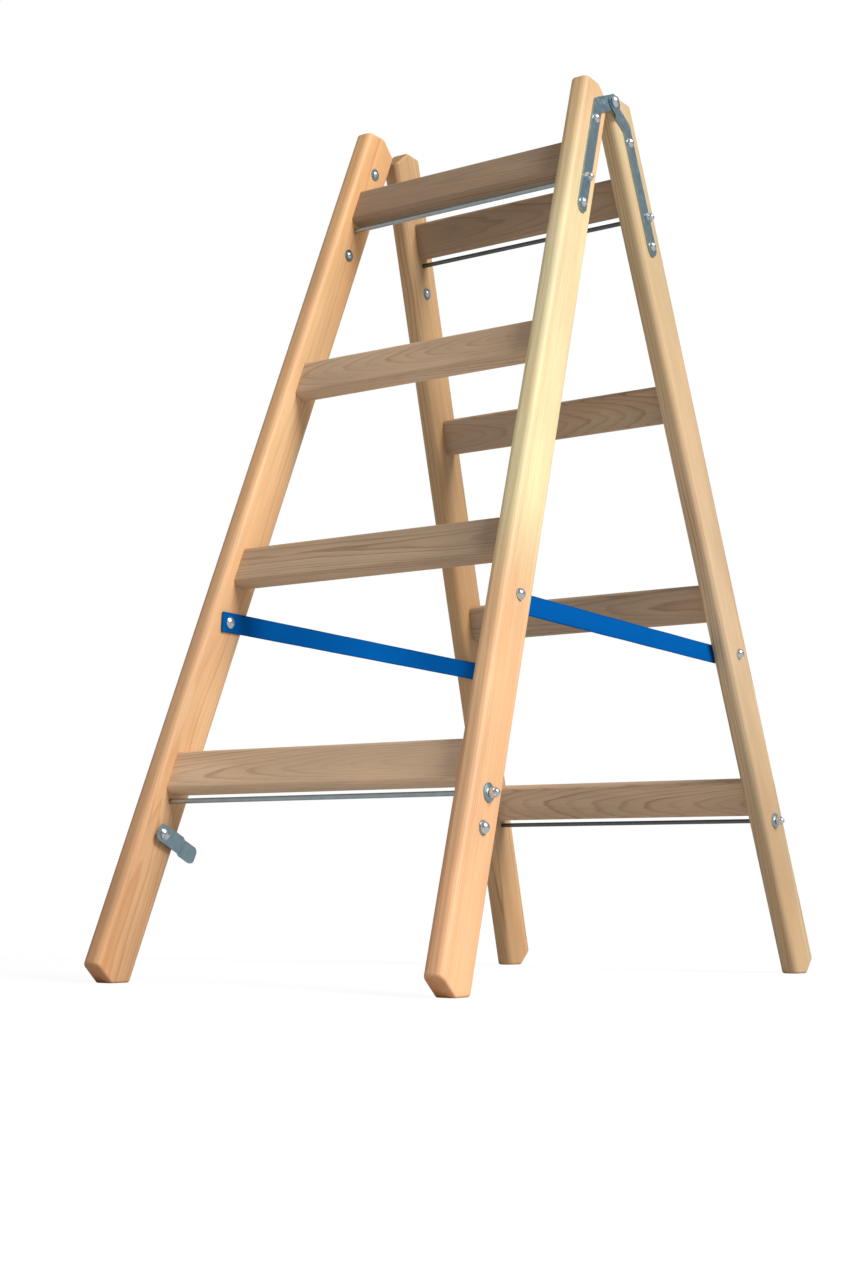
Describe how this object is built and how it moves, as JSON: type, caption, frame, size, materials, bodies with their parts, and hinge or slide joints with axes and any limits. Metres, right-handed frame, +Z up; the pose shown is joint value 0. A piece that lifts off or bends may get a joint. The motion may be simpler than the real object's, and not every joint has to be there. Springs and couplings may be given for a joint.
{
  "type": "double-sided wooden step ladder",
  "caption": "Folding A-frame wooden step ladder with rungs on both sides, steel hinge plates at the top and blue webbing spreader straps.",
  "frame": {"origin": "on the floor, midway between the four feet", "axes": "+X along the rungs, to the right seen from the front frame; -Y towards the front frame, +Y towards the rear frame; +Z up"},
  "size_m": [0.4984, 0.9652, 1.1505],
  "materials": {
    "stile_pine": "clear lacquer, satin",
    "rung_hardwood": "bare, worn",
    "webbing": "woven",
    "bright_steel": "zinc, bright",
    "zinc_steel": "zinc, satin"
  },
  "bodies": {
    "front_frame": {"front_left_stile": "stile_pine", "front_right_stile": "stile_pine", "front_rung_1": "rung_hardwood", "front_rung_2": "rung_hardwood", "front_rung_3": "rung_hardwood", "front_rung_4": "rung_hardwood", "front_lower_tie_rod": "zinc_steel", "front_upper_tie_rod": "zinc_steel", "front_tie_rod_nuts": "bright_steel", "front_cup_washers": "zinc_steel", "front_left_hinge_plate": "zinc_steel", "front_right_hinge_plate": "zinc_steel", "front_hinge_rivets": "bright_steel", "front_hinge_rivet_washers": "zinc_steel", "front_spreader_bolts": "bright_steel", "front_spreader_nuts": "bright_steel", "left_pivot_rivet": "bright_steel", "right_pivot_rivet": "bright_steel", "hook_bolts": "bright_steel", "hook_bolt_washers": "bright_steel", "hook_bolt_nuts": "bright_steel", "hook_spacers": "zinc_steel", "left_spreader_strap": "webbing", "right_spreader_strap": "webbing"},
    "rear_frame": {"rear_left_stile": "stile_pine", "rear_right_stile": "stile_pine", "rear_rung_1": "rung_hardwood", "rear_rung_2": "rung_hardwood", "rear_rung_3": "rung_hardwood", "rear_rung_4": "rung_hardwood", "rear_lower_tie_rod": "zinc_steel", "rear_upper_tie_rod": "zinc_steel", "rear_tie_rod_nuts": "bright_steel", "rear_cup_washers": "zinc_steel", "rear_left_hinge_plate": "zinc_steel", "rear_right_hinge_plate": "zinc_steel", "rear_hinge_rivets": "bright_steel", "rear_hinge_rivet_washers": "zinc_steel", "rear_spreader_bolts": "bright_steel", "rear_spreader_nuts": "bright_steel"},
    "left_hook": {"left_transport_hook": "zinc_steel"},
    "right_hook": {"right_transport_hook": "zinc_steel"}
  },
  "joints": [
    {"name": "fold joint", "type": "hinge", "parent": "front_frame", "child": "rear_frame", "pos_m": [0, 0, 1.134], "axis": [-1, 0, 0], "range_deg": [0, 41], "deforming": ["left_spreader_strap", "right_spreader_strap"]},
    {"name": "right hook pivot", "type": "hinge", "parent": "front_frame", "child": "right_hook", "pos_m": [0.2045, -0.39381, 0.17207], "axis": [0.9986, 0.0183, 0.049], "range_deg": [-80, 28]},
    {"name": "left hook pivot", "type": "hinge", "parent": "front_frame", "child": "left_hook", "pos_m": [-0.2045, -0.39381, 0.17207], "axis": [0.9986, -0.0183, -0.049], "range_deg": [-80, 28]}
  ]
}
